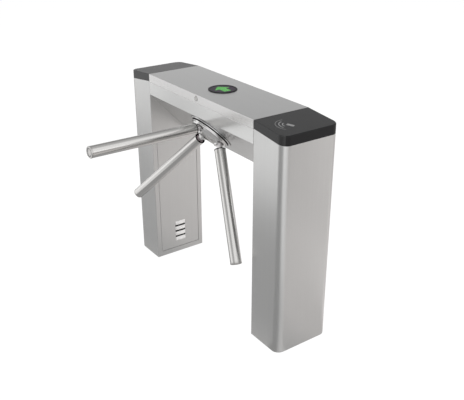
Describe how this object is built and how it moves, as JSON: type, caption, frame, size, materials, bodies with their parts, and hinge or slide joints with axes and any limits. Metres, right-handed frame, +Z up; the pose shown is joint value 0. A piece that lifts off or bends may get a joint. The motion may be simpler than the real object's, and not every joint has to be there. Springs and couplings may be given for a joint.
{
  "type": "tripod turnstile",
  "caption": "Waist-high bridge turnstile in brushed stainless steel: tilted rotor with drop arms on the bridge's inclined face, lit direction sign on the lid, dark sloping end caps.",
  "frame": {"origin": "on the floor, midway between the legs and midway across their depth: the centre of the outer anchor pattern", "axes": "+X along the bridge towards the leg with the card reader, -Y towards the side that people pass and the arms stand out on, +Z up"},
  "size_m": [1.2, 0.8106, 1.003],
  "materials": {
    "stainless": "brushed stainless sheet",
    "polished_steel": "polished stainless",
    "tip_metal": "polished, with a sunk ring",
    "cap_plastic": "fine grained dark moulding",
    "hub_cast": "satin cast aluminium",
    "black_rubber": "matt",
    "black_screw": "black oxide",
    "bezel_plastic": "gloss black",
    "lens_glass": "dark tinted, glossy",
    "arrow_green": "lit green",
    "zinc_steel": "zinc plated",
    "painted_plate": "powder coated",
    "housing_aluminium": "turned",
    "bearing_steel": "ground",
    "gear_steel": "cut steel",
    "pawl_steel": "hardened",
    "encoder_plastic": "matt black",
    "motor_paint": "black paint",
    "solenoid_zinc": "yellow zinc",
    "board_green": "solder mask",
    "supply_steel": "perforated case"
  },
  "bodies": {
    "cabinet": {"near_leg": "stainless", "far_leg": "stainless", "bridge": "stainless", "hub_flange": "polished_steel", "near_cap": "cap_plastic", "far_cap": "cap_plastic", "near_floor_plate": "zinc_steel", "far_floor_plate": "zinc_steel", "bridge_end_plates": "zinc_steel", "joint_bolts": "zinc_steel", "door_hinges": "zinc_steel", "lid_hinge_brackets": "zinc_steel", "frame_screws": "zinc_steel", "frame_pillars": "zinc_steel", "pawl_pins": "zinc_steel", "plunger_springs": "zinc_steel", "front_plate": "painted_plate", "rear_plate": "painted_plate", "motor_plate": "painted_plate", "front_housing": "housing_aluminium", "rear_housing": "housing_aluminium", "front_bearing": "bearing_steel", "rear_bearing": "bearing_steel", "position_sensor": "encoder_plastic", "drive_motor": "motor_paint", "upper_solenoid": "solenoid_zinc", "lower_solenoid": "solenoid_zinc", "card_reader": "board_green", "control_board": "board_green", "power_supply": "supply_steel"},
    "rotor": {"rotor_shaft": "bearing_steel", "hub_key": "zinc_steel", "hub": "hub_cast", "hub_bolt": "zinc_steel", "arm_screws": "black_screw", "arm_spigots": "polished_steel", "arm_collars": "black_rubber", "arm_tube_a": "polished_steel", "arm_tube_b": "polished_steel", "arm_tube_c": "polished_steel", "arm_tips": "tip_metal", "main_gear": "gear_steel", "locking_wheel": "gear_steel", "encoder_disc": "encoder_plastic"},
    "lid": {"lid": "stainless", "lid_lock_body": "polished_steel", "indicator_bezel": "bezel_plastic", "indicator_lens": "lens_glass", "indicator_arrow": "arrow_green"},
    "lid_lock": {"lid_lock_plug": "zinc_steel"},
    "near_door": {"near_door": "stainless"},
    "far_door": {"far_door": "stainless"},
    "near_lock": {"near_door_lock": "zinc_steel"},
    "far_lock": {"far_door_lock": "zinc_steel"},
    "pinion": {"motor_pinion": "gear_steel"},
    "upper_pawl": {"upper_pawl": "pawl_steel"},
    "lower_pawl": {"lower_pawl": "pawl_steel"},
    "upper_plunger": {"upper_plunger": "zinc_steel"},
    "lower_plunger": {"lower_plunger": "zinc_steel"}
  },
  "joints": [
    {"name": "rotor_turn", "type": "hinge", "parent": "cabinet", "child": "rotor", "pos_m": [0, -0.06498, 0.81955], "axis": [0, -0.7314, -0.682], "continuous": true},
    {"name": "pinion_turn", "type": "hinge", "parent": "cabinet", "child": "pinion", "pos_m": [0.075, -0.0211, 0.86047], "axis": [0, -0.7314, -0.682], "continuous": true},
    {"name": "upper_pawl_turn", "type": "hinge", "parent": "cabinet", "child": "upper_pawl", "pos_m": [-0.042, -0.05105, 0.91458], "axis": [0, 0.7314, 0.682], "range_deg": [0, 10.5]},
    {"name": "lower_pawl_turn", "type": "hinge", "parent": "cabinet", "child": "lower_pawl", "pos_m": [-0.042, 0.03079, 0.82682], "axis": [0, -0.7314, -0.682], "range_deg": [0, 10.5]},
    {"name": "upper_plunger_slide", "type": "slide", "parent": "cabinet", "child": "upper_plunger", "axis": [0, 0.682, -0.7314], "range_m": [0, 0.0132]},
    {"name": "lower_plunger_slide", "type": "slide", "parent": "cabinet", "child": "lower_plunger", "axis": [0, -0.682, 0.7314], "range_m": [0, 0.0132]},
    {"name": "lid_lift", "type": "hinge", "parent": "cabinet", "child": "lid", "pos_m": [0, 0.134, 0.994], "axis": [-1, 0, 0], "range_deg": [0, 75]},
    {"name": "lid_lock_turn", "type": "hinge", "parent": "lid", "child": "lid_lock", "pos_m": [0, -0.13, 0.9825], "axis": [0, -1, 0], "range_deg": [0, 90]},
    {"name": "near_door_swing", "type": "hinge", "parent": "cabinet", "child": "near_door", "pos_m": [0.423, 0.106, 0.35], "axis": [0, 0, -1], "range_deg": [0, 95]},
    {"name": "far_door_swing", "type": "hinge", "parent": "cabinet", "child": "far_door", "pos_m": [-0.423, 0.106, 0.35], "axis": [0, 0, 1], "range_deg": [0, 95]},
    {"name": "near_lock_turn", "type": "hinge", "parent": "near_door", "child": "near_lock", "pos_m": [0.42, -0.092, 0.49], "axis": [-1, 0, 0], "range_deg": [0, 90]},
    {"name": "far_lock_turn", "type": "hinge", "parent": "far_door", "child": "far_lock", "pos_m": [-0.42, -0.092, 0.49], "axis": [-1, 0, 0], "range_deg": [0, 90]}
  ],
  "couplings": [
    {"joint": "pinion_turn", "follows": "rotor_turn", "ratio": -4},
    {"joint": "upper_plunger_slide", "follows": "upper_pawl_turn", "m_per_rad": 0.0718},
    {"joint": "lower_plunger_slide", "follows": "lower_pawl_turn", "m_per_rad": 0.0718}
  ]
}
